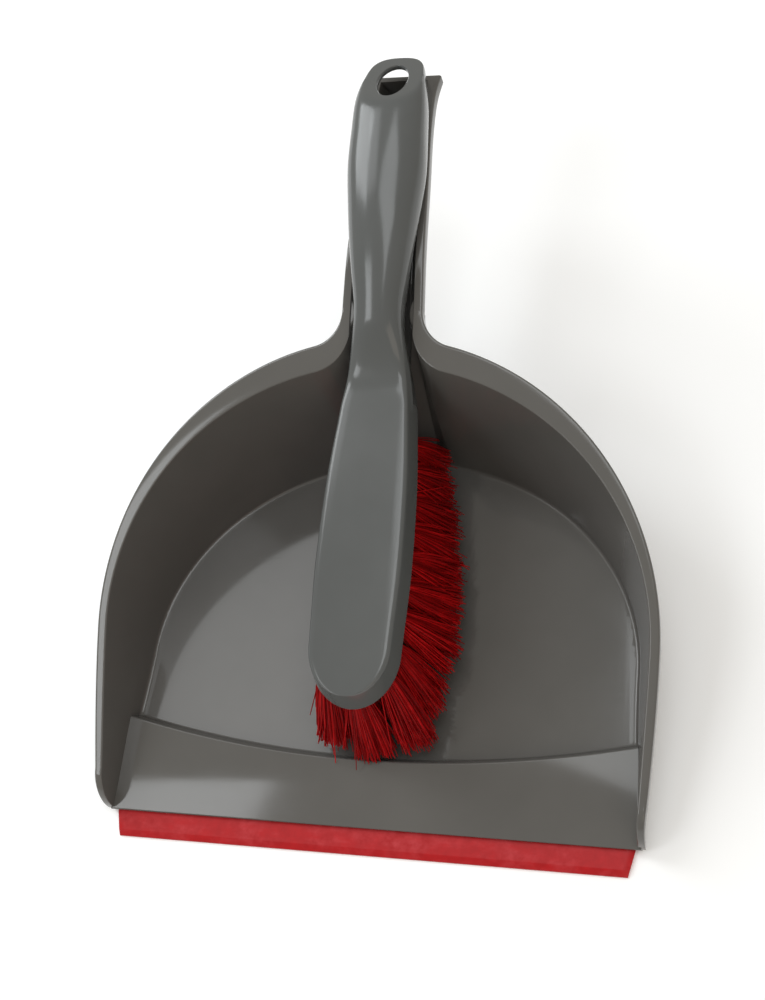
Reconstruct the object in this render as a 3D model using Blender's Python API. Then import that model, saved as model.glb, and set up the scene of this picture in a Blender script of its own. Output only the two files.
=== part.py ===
"""Dust pan and brush set: a moulded pan with a rubber lip, and a hand brush that nests in its channel handle.

Lengths below are in millimetres, with y measured back from the front edge of the lip. The model itself is in
metres, +Z up, with its origin on the ground under the middle of the whole set.
"""

import math

import bmesh
import bpy
from mathutils import Matrix, Vector

MM = 0.001

# Overall
SET_LENGTH = 299.0  # front edge of the lip to the tip of the brush handle
GAP = 0.3  # clearance between touching pieces

# Pan: plan shape. The back of the bowl is round about BOWL_CENTRE
BOWL_CENTRE = 77.0
FRONT_END = 10.4  # where the side walls stop
RIM_HALF_WIDTH = 111.3
RIM_DEPTH = 109.6  # from the bowl centre to the back of the rim
RIM_NARROWING = 4.0  # how much the rim draws in towards the front, each side
FLANGE_SIDE = 3.8  # flange width along the sides
FLANGE_FRONT = 2.6
FLANGE_BACK = 10.5
FOOT_HALF_WIDTH = 100.5
FOOT_DEPTH = 88.8  # from the bowl centre to the foot of the back wall
FOOT_FLARE = 4.3  # how much the foot spreads towards the front, each side
NECK_OUTER = 16.2  # half width over the channel handle's rim, at the neck
NECK_INNER = 12.5
NECK_MARGIN = 0.2  # both neck fillets stop this far outside the channel's sides
NECK_OUTER_FILLET = 14.0
NECK_INNER_FILLET = 17.0
ARC_STEPS = 18
ROUND_STEPS = 6

# Pan: heights. The rim lies in one sloping plane
RIM_AT_LIP = 13.8
RIM_SLOPE = 0.3208
RIM_CORNER = 11.5  # how far back the rounding of the rim's front corner starts
RIM_FRONT = 4.2  # rim height at its front end
WALL = 1.9
SKIRT = 1.2
SKIRT_DEPTH = 6.0
FLOOR = 2.4
FOOT_FILLET = 3.0
EDGE = 0.7  # chamfer of the rim

# Pan: ramp between the lip and the floor
RAMP_FRONT = 9.8
RAMP_FRONT_TOP = 4.2
RAMP_THICK = 1.5
CREST_END = 47.3  # where the crest meets the side walls
CREST_SAG = 12.1  # how far the middle of the crest bows to the front
CREST_HEIGHT = 8.8
CREST_STEP = 2.6  # length of the step down behind the crest

# Pan: channel handle
CHANNEL_DEPTH = 18.0
CHANNEL_END = 296.5
CHANNEL_LEVEL_START = 208.0  # where the channel's rim starts to level out
CHANNEL_LEVEL_END = 232.0
CHANNEL_SLOPE = 0.1  # slope of the rim from there on
CHANNEL_STEP = 0.15  # the channel's rim lies this much lower than the bowl's
CHANNEL_BEAD = 5.0
CHANNEL_LEAN = 3.8  # how far each side draws in on its way down
SNAP_NUB = 1.2  # how far a snap nub stands proud
SNAP_SUNK = -0.3  # its ends, inside the channel's side
SNAP_RISE = 1.9
SNAP_FRONT = 190.5
SNAP_BACK = 200.5

# Lip
LIP_HALF_FRONT = 101.2
LIP_HALF_BACK = 103.5
LIP_DEPTH = 16.5
LIP_THICK = 2.3
LIP_EDGE = 0.9
LIP_BEVEL = 2.4

# Brush: the block's flat top climbs towards the handle
PLATE_AT_LIP = 48.9
PLATE_SLOPE = 0.13
BLOCK_THICK = 11.5
BLOCK_FLARE = 2.2  # how much wider the block is at the bottom, each side
BLOCK_EDGE = 1.5  # rounding of the block's edges
NOSE_CENTRE = 66.0
NOSE_TOP = 19.3
NOSE_BOTTOM = 20.8
HANDLE_END_CENTRE = 291.0
HANDLE_END_POWER = 2.8
UPPER_POWER = 2.2  # roundness of the handle's section above and below its widest level
LOWER_POWER = 4.0
HANDLE_WALL = 2.4  # the handle is a shell, open underneath
POCKET_START = 215.0
FACET_START = 271.0  # a sloping flat starts here and runs to the handle's end
FACET_HEIGHT = 111.0
FACET_SLOPE = -0.37
MORPH_START = 158.0  # where the block starts to turn into the neck
MORPH_END = 188.0
HOLE_CENTRE = 283.6
HOLE_HALF_LENGTH = 10.0
HOLE_HALF_WIDTH = 6.0

# Half width of the channel handle, as (y, value)
CHANNEL_HALF_WIDTH = [(200, NECK_OUTER), (224, 15.6), (250, 14.6), (270, 13.6), (283, 13.5), (290, 14.0),
                      (CHANNEL_END, 15.2)]

# Width of its rim on each side, as (y, value)
CHANNEL_RIM_WIDTH = [(215, NECK_OUTER - NECK_INNER), (250, 3.2), (278, 3.2), (290, 4.3), (CHANNEL_END, 6.0)]

# Where the cross-sections of the channel lie, between its first and its last
CHANNEL_SECTIONS = [202.0, 210.0, 218.0, 226.0, 236.0, 250.0, 262.0, 273.0, 282.0, 287.0, 291.0, 294.0]

# Half width of the brush, the top of the handle, its widest level and its underside, each as (y, value)
BRUSH_HALF_WIDTH = [(66, 15.7), (98, 16.6), (130, 15.7), (154, 13.7), (174, 11.8), (188, 9.9), (196, 9.8),
                    (206, 11.1), (224, 13.4), (242, 15.1), (250, 15.4), (262, 14.9), (278, 13.8), (299, 9.6)]
HANDLE_TOP = [(158, 69.4), (168, 72.6), (186, 84.5), (206, 94.0), (224, 101.0), (245, 106.8), (262, 110.4),
              (274, 111.6), (299, 108.5)]
HANDLE_MID = [(158, 62.0), (176, 72.0), (188, 77.8), (200, 83.2), (212, 87.4), (236, 93.8), (260, 100.8),
              (274, 104.4), (284, 103.6), (299, 99.6)]
HANDLE_BOTTOM = [(158, 57.9), (176, 63.0), (193, 71.0), (206, 77.6), (218, 83.8), (232, 86.0), (262, 88.9),
                 (276, 91.0), (290, 96.0), (299, 98.2)]

# Tufts and the wire staples that anchor them
ROW_OFFSET = 11.0
ROW_LEAN = [(60, 10.0), (82, 22.0), (104, 20.0), (148, 6.0)]  # side rows, degrees outwards, as (y, value)
NOSE_LEAN = 31.0  # degrees forwards, for the first tuft of a row
LEAN_FADE = 34.0  # the forward lean is gone this far behind the first tuft
TAIL_LEAN = 8.0  # degrees backwards, for the last tuft of a row
ROWS = {"left": (-1, 9, 60.0, 148.0), "centre": (0, 10, 55.0, 152.0), "right": (1, 9, 60.0, 148.0)}
TUFT_HOLE = 5.2
TUFT_ROOT = 4.6
TUFT_DEPTH = 8.5
TUFT_FREE = 40.0  # length outside the block
TUFT_SIDES = 10
TUFT_TIP_ACROSS = 12.0
TUFT_TIP_ALONG = 9.6
STAPLE_LENGTH = 6.4
STAPLE_THICK = 0.4
STAPLE_HEIGHT = 1.8
STAPLE_SEAT = 1.4  # from the bottom of the tuft hole to the staple

PAN_GREY = (0.165, 0.165, 0.155, 1.0)
BRUSH_GREY = (0.135, 0.140, 0.138, 1.0)
LIP_RED = (0.46, 0.045, 0.045, 1.0)
BRISTLE_RED = (0.36, 0.004, 0.006, 1.0)
STEEL = (0.62, 0.62, 0.60, 1.0)


# Small tools

def place(x, y, z):
    """A point in millimetres, y from the lip, as a point of the model."""
    return Vector((x * MM, (y - SET_LENGTH / 2) * MM, z * MM))


def smoothstep(value, start, end):
    t = min(max((value - start) / (end - start), 0.0), 1.0)
    return t * t * (3 - 2 * t)


def smooth_through(points, y):
    """The height at y of a smooth curve through the points, level-headed between them."""
    if y <= points[0][0]:
        return points[0][1]
    if y >= points[-1][0]:
        return points[-1][1]
    i = max(k for k in range(len(points) - 1) if points[k][0] <= y)

    def slope(k):
        low, high = max(k - 1, 0), min(k + 1, len(points) - 1)
        return (points[high][1] - points[low][1]) / (points[high][0] - points[low][0])

    (y0, v0), (y1, v1) = points[i], points[i + 1]
    span = y1 - y0
    t = (y - y0) / span
    ease = t * t * (3 - 2 * t)
    return (v0 + (v1 - v0) * ease + span * slope(i) * t * (1 - t) ** 2
            - span * slope(i + 1) * t * t * (1 - t))


def material(name, colour, roughness, metallic=0.0):
    made = bpy.data.materials.new(name)
    made.use_nodes = True
    shader = made.node_tree.nodes["Principled BSDF"]
    shader.inputs["Base Color"].default_value = colour
    shader.inputs["Roughness"].default_value = roughness
    shader.inputs["Metallic"].default_value = metallic
    return made


def add_object(name, bm, finish=None):
    """A named object from a bmesh, with its faces turned outwards and its round stretches smooth."""
    bmesh.ops.recalc_face_normals(bm, faces=bm.faces)
    mesh = bpy.data.meshes.new(name)
    bm.to_mesh(mesh)
    bm.free()
    mesh.shade_smooth()
    mesh.set_sharp_from_angle(angle=math.radians(35))
    made = bpy.data.objects.new(name, mesh)
    bpy.context.collection.objects.link(made)
    if finish:
        mesh.materials.append(finish)
    return made


def loft(sections):
    """A closed solid through cross-sections, each a closed polygon of the same number of points."""
    bm = bmesh.new()
    rings = [[bm.verts.new(point) for point in section] for section in sections]
    count = len(rings[0])
    for near, far in zip(rings, rings[1:]):
        for k in range(count):
            m = (k + 1) % count
            bm.faces.new((near[k], near[m], far[m], far[k]))
    bm.faces.new(rings[0])
    bm.faces.new(rings[-1])
    return bm


def cutter(name, bm):
    """A solid that only shapes other pieces."""
    made = add_object(name, bm)
    made.hide_render = True
    made.display_type = "WIRE"
    return made


def boolean(target, tool, operation):
    step = target.modifiers.new(tool.name, "BOOLEAN")
    step.operation = operation
    step.object = tool
    step.solver = "EXACT"


# The pan

def rim_height(y):
    """Height of the rim plane, rounded down at the front corner."""
    plane = RIM_AT_LIP + RIM_SLOPE * max(y, FRONT_END + RIM_CORNER)
    drop = min(max((FRONT_END + RIM_CORNER - y) / RIM_CORNER, 0.0), 1.0)
    return RIM_FRONT + (plane - RIM_FRONT) * math.sqrt(1 - drop * drop) if drop else plane


def neck_fillet(side, depth, half_width, radius):
    """The round from an elliptical back edge into the channel's side at half_width."""
    end_x = half_width + NECK_MARGIN
    low, high = 0.0, math.pi / 2
    while high - low > 1e-6:
        t = (low + high) / 2
        normal = Vector((depth * math.cos(t), side * math.sin(t))).normalized()
        centre = Vector((side * math.cos(t), BOWL_CENTRE + depth * math.sin(t))) + normal * radius
        if centre.x > end_x + radius:
            low = t
        else:
            high = t
    start = math.atan2(normal.y, normal.x) - math.pi
    return [(centre.x + radius * math.cos(a), centre.y + radius * math.sin(a))
            for a in (start + (-math.pi - start) * k / ROUND_STEPS for k in range(ROUND_STEPS + 1))]


def inner_neck():
    return neck_fillet(RIM_HALF_WIDTH - FLANGE_SIDE, RIM_DEPTH - FLANGE_BACK, NECK_INNER, NECK_INNER_FILLET)


def ellipse_to(x_end, half_width, depth):
    """The back edge from the side of the bowl round to x_end."""
    end = math.acos(x_end / half_width)
    return [(half_width * math.cos(end * k / ARC_STEPS), BOWL_CENTRE + depth * math.sin(end * k / ARC_STEPS))
            for k in range(ARC_STEPS + 1)]


def straight_to_front(side_width, y, change, power):
    t = (BOWL_CENTRE - y) / (BOWL_CENTRE - FRONT_END)
    return side_width + change * t ** power


def wall_stations():
    """Right half of the bowl: (rim, flange edge, foot) in plan, from the front corner to the neck."""
    front_ys = [FRONT_END + RIM_CORNER * (1 - math.cos(math.radians(a))) for a in range(0, 90, 15)]
    side_ys = [FRONT_END + RIM_CORNER + (BOWL_CENTRE - FRONT_END - RIM_CORNER) * k / 7 for k in range(7)]
    stations = []
    for y in front_ys + side_ys:
        rim = straight_to_front(RIM_HALF_WIDTH, y, -RIM_NARROWING, 1.6)
        flange = straight_to_front(FLANGE_SIDE, y, FLANGE_FRONT - FLANGE_SIDE, 3.0)
        foot = straight_to_front(FOOT_HALF_WIDTH, y, FOOT_FLARE, 1.5)
        stations.append(((rim, y), (rim - flange, y), (foot, y)))

    outer_round = neck_fillet(RIM_HALF_WIDTH, RIM_DEPTH, NECK_OUTER, NECK_OUTER_FILLET)
    inner_round = inner_neck()
    round_x = inner_round[0][0]
    outer_arc = ellipse_to(outer_round[0][0], RIM_HALF_WIDTH, RIM_DEPTH)
    inner_arc = ellipse_to(round_x, RIM_HALF_WIDTH - FLANGE_SIDE, RIM_DEPTH - FLANGE_BACK)
    foot_arc = ellipse_to(round_x, FOOT_HALF_WIDTH, FOOT_DEPTH)
    stations += list(zip(outer_arc, inner_arc, foot_arc))
    for k in range(1, ROUND_STEPS + 1):
        x = round_x + (inner_round[-1][0] - round_x) * k / ROUND_STEPS
        foot_y = BOWL_CENTRE + FOOT_DEPTH * math.sqrt(1 - (x / FOOT_HALF_WIDTH) ** 2)
        stations.append((outer_round[k], inner_round[k], (x, foot_y)))
    return stations


def wall_section(rim, flange, foot):
    """One cross-section of the wall with its flange and turned-down skirt."""
    rim, flange, foot = Vector(rim), Vector(flange), Vector(foot)
    out = (rim - flange).normalized()
    wall = min(WALL, (rim - flange).length - SKIRT - GAP)
    top = rim_height(rim.y)
    skirt_bottom = top - min(SKIRT_DEPTH, 0.55 * (top - 1.0))
    ledge = top - min(WALL, 0.3 * top)
    strip = 0.2 + (FOOT_FILLET - 0.2) * smoothstep(foot.y, 22.0, 34.0)
    lean = (flange - foot) / (top - FLOOR)

    def lifted(point):
        """The rim plane's own rise across the flange."""
        return RIM_SLOPE * (point.y - rim.y) if rim.y > FRONT_END + RIM_CORNER else 0.0

    fillet = min(FOOT_FILLET, 0.3 * (top - FLOOR))
    outline = [
        (foot - out * strip, 0.0),
        (foot + out * wall, 0.0),
        (flange + out * wall, ledge + lifted(flange)),
        (rim - out * SKIRT, ledge),
        (rim - out * SKIRT, skirt_bottom),
        (rim, skirt_bottom),
        (rim, top - EDGE),
        (rim - out * EDGE, top),
        (flange + out * EDGE, top + lifted(flange)),
        (flange, top - EDGE + lifted(flange)),
        (foot + lean * fillet, FLOOR + fillet),
        (foot + lean * fillet * 0.3 - out * 0.25 * strip, FLOOR + 0.25 * fillet),
        (foot - out * strip, FLOOR),
    ]
    return [place(plan.x, plan.y, z) for plan, z in outline]


def mirrored(section):
    return [Vector((-p.x, p.y, p.z)) for p in section]


def bowl_wall():
    right = [wall_section(*station) for station in wall_stations()]
    return loft(right + [mirrored(section) for section in reversed(right)])


def crest_line(x):
    return CREST_END - CREST_SAG * (1 - (x / LIP_HALF_BACK) ** 2)


def floor_plate():
    """The ramp, its step down and the flat floor, wider than the bowl. floor_trim cuts it to shape."""
    half, back, steps = RIM_HALF_WIDTH + 5, BOWL_CENTRE + RIM_DEPTH, 24
    sections = []
    for k in range(steps + 1):
        x = -half + 2 * half * k / steps
        crest = crest_line(x)
        profile = [
            (RAMP_FRONT, RAMP_FRONT_TOP - RAMP_THICK),
            (RAMP_FRONT, RAMP_FRONT_TOP - 0.4),
            (RAMP_FRONT + 0.4, RAMP_FRONT_TOP),
            (crest - 1.5, CREST_HEIGHT - 0.2),
            (crest, CREST_HEIGHT),
            (crest + 0.8, CREST_HEIGHT - 0.4),
            (crest + CREST_STEP, FLOOR + 0.5),
            (crest + CREST_STEP + 0.8, FLOOR),
            (back, FLOOR),
            (back, 0.0),
            (crest + 0.6, 0.0),
            (crest - 1.2, CREST_HEIGHT - RAMP_THICK - 0.4),
        ]
        sections.append([place(x, y, z) for y, z in profile])
    return loft(sections)


def floor_trim():
    """The outline of the floor, reaching half way into the wall, as a tall prism."""
    half = [Vector(foot) for _, _, foot in wall_stations()]
    half = [p + Vector((p.x, max(p.y - BOWL_CENTRE, 0.0))).normalized() * WALL / 2 for p in half]
    half.insert(0, Vector((half[0].x, RAMP_FRONT - 5)))
    outline = half + [Vector((-p.x, p.y)) for p in reversed(half)]
    return loft([[place(p.x, p.y, z) for p in outline] for z in (-10.0, 30.0)])


def channel_outer(y):
    return smooth_through(CHANNEL_HALF_WIDTH, y)


def channel_inner(y):
    return channel_outer(y) - smooth_through(CHANNEL_RIM_WIDTH, y)


def channel_rim(y):
    """Height of the channel's rim, which follows the rim plane at the neck and then levels out."""
    bend = CHANNEL_LEVEL_END - CHANNEL_LEVEL_START
    bent = min(max(y - CHANNEL_LEVEL_START, 0.0), bend)
    beyond = max(y - CHANNEL_LEVEL_END, 0.0)
    return (RIM_AT_LIP - CHANNEL_STEP + RIM_SLOPE * (y - beyond) + CHANNEL_SLOPE * beyond
            - (RIM_SLOPE - CHANNEL_SLOPE) * bent ** 2 / (2 * bend))


def channel_point(x, y, below, slant=0.0):
    """A point this far below the rim, on a section whose plane slants in y."""
    y_here = y + slant * below
    return place(x, y_here, channel_rim(y_here) - below)


def channel_stations():
    """(y at the rim, slant of the section) along the channel, from inside the back wall to its end."""
    start = inner_neck()[-1][1]
    wall_lean = -(start - BOWL_CENTRE - FOOT_DEPTH) / (channel_rim(start) - FLOOR)
    ys = [start + 1.0] + CHANNEL_SECTIONS + [CHANNEL_END]
    return [(y, wall_lean * (1 - (y - ys[0]) / (ys[-1] - ys[0])) ** 3) for y in ys]


def channel_block():
    """The outside of the channel handle, solid up to its rim."""
    sections = []
    for y, slant in channel_stations():
        inner, outer = channel_inner(y), channel_outer(y)
        half = [
            (outer - 0.4, 0.0),
            (outer, 0.4),
            (outer, CHANNEL_BEAD),
            (inner + 0.6 * WALL, CHANNEL_BEAD + 0.6),
            (inner - CHANNEL_LEAN + WALL, CHANNEL_DEPTH - 2.0),
            (inner - CHANNEL_LEAN - 1.0 + 0.7 * WALL, CHANNEL_DEPTH + 0.8),
            (inner - CHANNEL_LEAN - 3.2, CHANNEL_DEPTH + WALL),
        ]
        chain = half + [(-x, below) for x, below in reversed(half)]
        sections.append([channel_point(x, y, below, slant) for x, below in chain])
    return loft(sections)


def channel_hollow():
    """The inside of the channel, from within the bowl, through the back wall, to the wall at its end."""
    ys = [150.0] + [y for y, _ in channel_stations()[1:-1]] + [CHANNEL_END - WALL]
    sections = []
    for y in ys:
        inner = channel_inner(y)
        half = [
            (inner - CHANNEL_LEAN - 3.2, CHANNEL_DEPTH),
            (inner - CHANNEL_LEAN - 1.0, CHANNEL_DEPTH - 0.8),
            (inner - CHANNEL_LEAN, CHANNEL_DEPTH - 2.8),
            (inner, EDGE),
            (inner + 0.8, -EDGE),
            (inner + 0.8, -12.0),
        ]
        chain = half + [(-x, below) for x, below in reversed(half)]
        sections.append([channel_point(x, y, below) for x, below in chain])
    return loft(sections)


def snap_nub(side):
    """A small pad on the channel's side that the brush's neck squeezes past. Its ends sink into the side."""
    sections = []
    for y, proud in ((SNAP_FRONT, SNAP_SUNK), (SNAP_FRONT + SNAP_RISE, SNAP_NUB),
                     (SNAP_BACK - 2 * SNAP_RISE, SNAP_NUB), (SNAP_BACK, SNAP_SUNK)):
        outline = [(0.5, 0.9), (-proud, 1.7), (-proud, 4.6), (0.5, 6.2), (1.2, 4.6), (1.2, 1.7)]
        section = []
        for out, below in outline:
            wall = NECK_INNER - CHANNEL_LEAN * (below - EDGE) / (CHANNEL_DEPTH - 2.8 - EDGE)
            section.append(channel_point(side * (wall + out), y, below))
        sections.append(section)
    return loft(sections)


def make_dustpan(finish):
    pan = add_object("dustpan_body", bowl_wall(), finish)
    plate = cutter("floor_plate", floor_plate())
    boolean(plate, cutter("floor_trim", floor_trim()), "INTERSECT")
    boolean(pan, plate, "UNION")
    boolean(pan, cutter("channel_block", channel_block()), "UNION")
    boolean(pan, cutter("channel_hollow", channel_hollow()), "DIFFERENCE")
    for name, side in (("snap_nub_left", -1), ("snap_nub_right", 1)):
        boolean(pan, cutter(name, snap_nub(side)), "UNION")
    return pan


def make_lip(finish):
    """A flat strip with a bevelled front edge, its back part lying under the ramp."""
    outline = [(0.0, 0.0), (0.0, LIP_EDGE), (LIP_BEVEL, LIP_THICK - 0.3), (RAMP_FRONT, LIP_THICK),
               (LIP_DEPTH, LIP_THICK), (LIP_DEPTH, 0.0)]
    sections = []
    for side in (-1, 1):
        section = []
        for y, z in outline:
            t = min(y / RAMP_FRONT, 1.0)
            section.append(place(side * (LIP_HALF_FRONT + (LIP_HALF_BACK - LIP_HALF_FRONT) * t), y, z))
        sections.append(section)
    return add_object("rubber_lip", loft(sections), finish)


# The brush

def plate_height(y):
    return PLATE_AT_LIP + PLATE_SLOPE * y


def block_half_section(y, cap):
    """Right half of the block's cross-section from the top down, as (x, y, z)."""
    width = smooth_through(BRUSH_HALF_WIDTH, y)
    corners = (
        (0.0, 0.0, 0.0),
        (0.5, 0.0, 0.0),
        (1.0, BLOCK_EDGE, 0.0),
        (1.0, 0.3 * BLOCK_EDGE, 0.3 * BLOCK_EDGE),
        (1.0, 0.0, BLOCK_EDGE),
        (1.0, -BLOCK_FLARE * 0.5, BLOCK_THICK * 0.5),
        (1.0, -BLOCK_FLARE, BLOCK_THICK - BLOCK_EDGE),
        (1.0, 0.3 * BLOCK_EDGE - BLOCK_FLARE, BLOCK_THICK - 0.3 * BLOCK_EDGE),
        (1.0, BLOCK_EDGE - BLOCK_FLARE, BLOCK_THICK),
        (0.5, 0.0, BLOCK_THICK),
        (0.0, 0.0, BLOCK_THICK),
    )
    points = []
    for across, inset, down in corners:
        depth = NOSE_TOP + (NOSE_BOTTOM - NOSE_TOP) * down / BLOCK_THICK
        y_here = y if y > NOSE_CENTRE else NOSE_CENTRE - (NOSE_CENTRE - y) * depth / NOSE_BOTTOM
        points.append((cap * across * (width - inset), y_here, plate_height(y_here) - down))
    return points


def facet_height(y):
    return FACET_HEIGHT + FACET_SLOPE * (y - FACET_START)


def handle_half_section(y, cap, wall=0.0):
    """Right half of the handle's cross-section, this far inside it, from the top down as (x, y, z)."""
    width = smooth_through(BRUSH_HALF_WIDTH, y) * cap - wall
    mid = smooth_through(HANDLE_MID, y)
    top = mid + (smooth_through(HANDLE_TOP, y) - mid) * cap ** 0.4 - wall
    bottom = mid + (smooth_through(HANDLE_BOTTOM, y) - mid) * cap ** 0.4
    points = []
    for k in range(11):
        angle = math.pi / 2 - math.pi * k / 10
        power = UPPER_POWER if angle > 0 else LOWER_POWER
        across = abs(math.cos(angle)) ** (2 / power) if 0 < k < 10 else 0.0
        rise = abs(math.sin(angle)) ** (2 / power)
        z = mid + rise * ((top if angle > 0 else bottom) - mid)
        points.append((width * across, y, min(z, facet_height(y) - wall)))
    return points


def handle_cap(y):
    """How much the handle's section has shrunk towards its round end."""
    t = max(y - HANDLE_END_CENTRE, 0.0) / (SET_LENGTH - HANDLE_END_CENTRE)
    return (1 - t ** HANDLE_END_POWER) ** (1 / HANDLE_END_POWER)


def handle_pocket():
    """The hollow of the handle's shell, open at the bottom."""
    end = SET_LENGTH - HANDLE_WALL
    ys = [POCKET_START + (HANDLE_END_CENTRE - POCKET_START) * k / 12 for k in range(13)]
    sections = []
    for y in ys + [end - 2.0, end]:
        upper = handle_half_section(y, handle_cap(y), HANDLE_WALL)[:6]
        low = smooth_through(HANDLE_BOTTOM, y) - 10
        right = [place(*p) for p in upper + [(upper[-1][0], y, low), (0.0, y, low)]]
        sections.append(right + mirrored(right[-2:0:-1]))
    return loft(sections)


def brush_section(y):
    """The whole cross-section at y, with the nose and the handle's end closed by a round cap."""
    cap = handle_cap(y)
    if y < NOSE_CENTRE:
        cap = math.sqrt(1 - ((NOSE_CENTRE - y) / NOSE_BOTTOM) ** 2)
    morph = smoothstep(y, MORPH_START, MORPH_END)
    half = [Vector(a).lerp(Vector(b), morph)
            for a, b in zip(block_half_section(y, cap), handle_half_section(y, cap))]
    right = [place(*p) for p in half]
    return right + mirrored(right[-2:0:-1])


def brush_solid():
    nose_ys = [NOSE_CENTRE - NOSE_BOTTOM * math.cos(math.radians(a)) for a in (9, 20, 31, 42, 54, 66, 78)]
    block_ys = [NOSE_CENTRE + (MORPH_START - NOSE_CENTRE) * k / 8 for k in range(9)]
    handle_ys = [MORPH_START + (HANDLE_END_CENTRE - MORPH_START) * k / 20 for k in range(1, 21)]
    end_ys = [HANDLE_END_CENTRE + (SET_LENGTH - HANDLE_END_CENTRE) * math.sin(math.radians(a))
              for a in (12, 24, 36, 48, 60, 70, 79, 90)]
    end_ys[-1] -= 1e-3
    return loft([brush_section(y) for y in nose_ys + block_ys + handle_ys + end_ys])


def hanging_hole():
    sides = 24
    outline = [(HOLE_HALF_WIDTH * math.cos(2 * math.pi * k / sides),
                HOLE_CENTRE + HOLE_HALF_LENGTH * math.sin(2 * math.pi * k / sides)) for k in range(sides)]
    return loft([[place(x, y, z) for x, y in outline] for z in (75.0, 130.0)])


def tuft_frames():
    """For each tuft, its name and the frame at the bottom of its hole: z points out along the tuft."""
    block_tilt = math.atan(PLATE_SLOPE)
    frames = []
    for row, (side, count, first, last) in ROWS.items():
        for k in range(count):
            y = first + (last - first) * k / (count - 1)
            forward = NOSE_LEAN * (1 - smoothstep(y, first, first + LEAN_FADE))
            forward -= TAIL_LEAN * smoothstep(y, last - LEAN_FADE, last)
            lean = side * smooth_through(ROW_LEAN, y)
            turn = (Matrix.Rotation(block_tilt, 4, "X") @ Matrix.Rotation(-math.radians(lean), 4, "Y")
                    @ Matrix.Rotation(-math.radians(forward), 4, "X") @ Matrix.Rotation(math.pi, 4, "X"))
            mouth = place(side * ROW_OFFSET, y, plate_height(y) - BLOCK_THICK)
            seat = mouth - (turn @ Vector((0, 0, 1))) * TUFT_DEPTH * MM
            frames.append((f"{row}_{k + 1}", Matrix.Translation(seat) @ turn))
    return frames


def round_ring(across, along, height, sides):
    """A ring about the z axis, in millimetres."""
    angles = [2 * math.pi * k / sides for k in range(sides)]
    return [Vector((across / 2 * math.cos(a), along / 2 * math.sin(a), height)) for a in angles]


def framed(frame, ring):
    return [frame @ (point * MM) for point in ring]


def box_rings(length, thick, low, high):
    corners = ((1, 1), (-1, 1), (-1, -1), (1, -1))
    return [[Vector((x * length / 2, y * thick / 2, z)) for x, y in corners] for z in (low, high)]


def joined(solids):
    """Several separate closed solids in one bmesh, for a cutter that cuts many places."""
    bm = bmesh.new()
    for solid in solids:
        bmesh.ops.recalc_face_normals(solid, faces=solid.faces)
        mesh = bpy.data.meshes.new("piece")
        solid.to_mesh(mesh)
        solid.free()
        bm.from_mesh(mesh)
        bpy.data.meshes.remove(mesh)
    return bm


def tuft_hole(frame):
    heights = (0, TUFT_DEPTH + 6)
    return loft([framed(frame, round_ring(TUFT_HOLE, TUFT_HOLE, height, TUFT_SIDES)) for height in heights])


def staple_slot(frame):
    """The room round a staple, cut from the block and through the fold of its tuft."""
    rings = box_rings(STAPLE_LENGTH + 2 * GAP, STAPLE_THICK + 2 * GAP,
                      STAPLE_SEAT - GAP, STAPLE_SEAT + STAPLE_HEIGHT + GAP)
    return loft([framed(frame, ring) for ring in rings])


def make_tuft(name, frame, finish, slot):
    """A bundle folded round its staple, straight in its hole and spreading outside it."""
    rings = [round_ring(TUFT_ROOT, TUFT_ROOT, height, TUFT_SIDES) for height in (GAP, TUFT_DEPTH + 1)]
    for share in (0.5, 1.0):
        across = TUFT_ROOT + (TUFT_TIP_ACROSS - TUFT_ROOT) * share
        along = TUFT_ROOT + (TUFT_TIP_ALONG - TUFT_ROOT) * share
        rings.append(round_ring(across, along, TUFT_DEPTH + TUFT_FREE * share, TUFT_SIDES))
    tuft = add_object(name, loft([framed(frame, ring) for ring in rings]), finish)
    boolean(tuft, slot, "DIFFERENCE")
    return tuft


def make_staple(name, frame, finish):
    rings = box_rings(STAPLE_LENGTH, STAPLE_THICK, STAPLE_SEAT, STAPLE_SEAT + STAPLE_HEIGHT)
    return add_object(name, loft([framed(frame, ring) for ring in rings]), finish)


def make_brush(body_finish, bristle_finish, staple_finish):
    frames = tuft_frames()
    body = add_object("brush_body", brush_solid(), body_finish)
    slots = cutter("staple_slots", joined(staple_slot(frame) for _, frame in frames))
    boolean(body, cutter("handle_pocket", handle_pocket()), "DIFFERENCE")
    boolean(body, cutter("hanging_hole", hanging_hole()), "DIFFERENCE")
    boolean(body, cutter("tuft_holes", joined(tuft_hole(frame) for _, frame in frames)), "DIFFERENCE")
    boolean(body, slots, "DIFFERENCE")
    for name, frame in frames:
        make_tuft("tuft_" + name, frame, bristle_finish, slots)
        make_staple("staple_" + name, frame, staple_finish)


def main():
    for old in list(bpy.data.objects):
        bpy.data.objects.remove(old, do_unlink=True)
    make_dustpan(material("pan_plastic", PAN_GREY, 0.38))
    make_lip(material("lip_rubber", LIP_RED, 0.6))
    make_brush(material("brush_plastic", BRUSH_GREY, 0.3), material("bristle", BRISTLE_RED, 0.55),
               material("staple_steel", STEEL, 0.35, 1.0))


main()
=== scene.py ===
"""Looks for a dust pan and brush set: smooth mouldings, single bristles, plastics, rubber, light and camera.

Lengths below are in millimetres, with y measured back from the front edge of the lip, as in the CAD part.
"""

import math

import bmesh
import bpy
import numpy as np
from mathutils import Matrix, Vector


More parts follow.
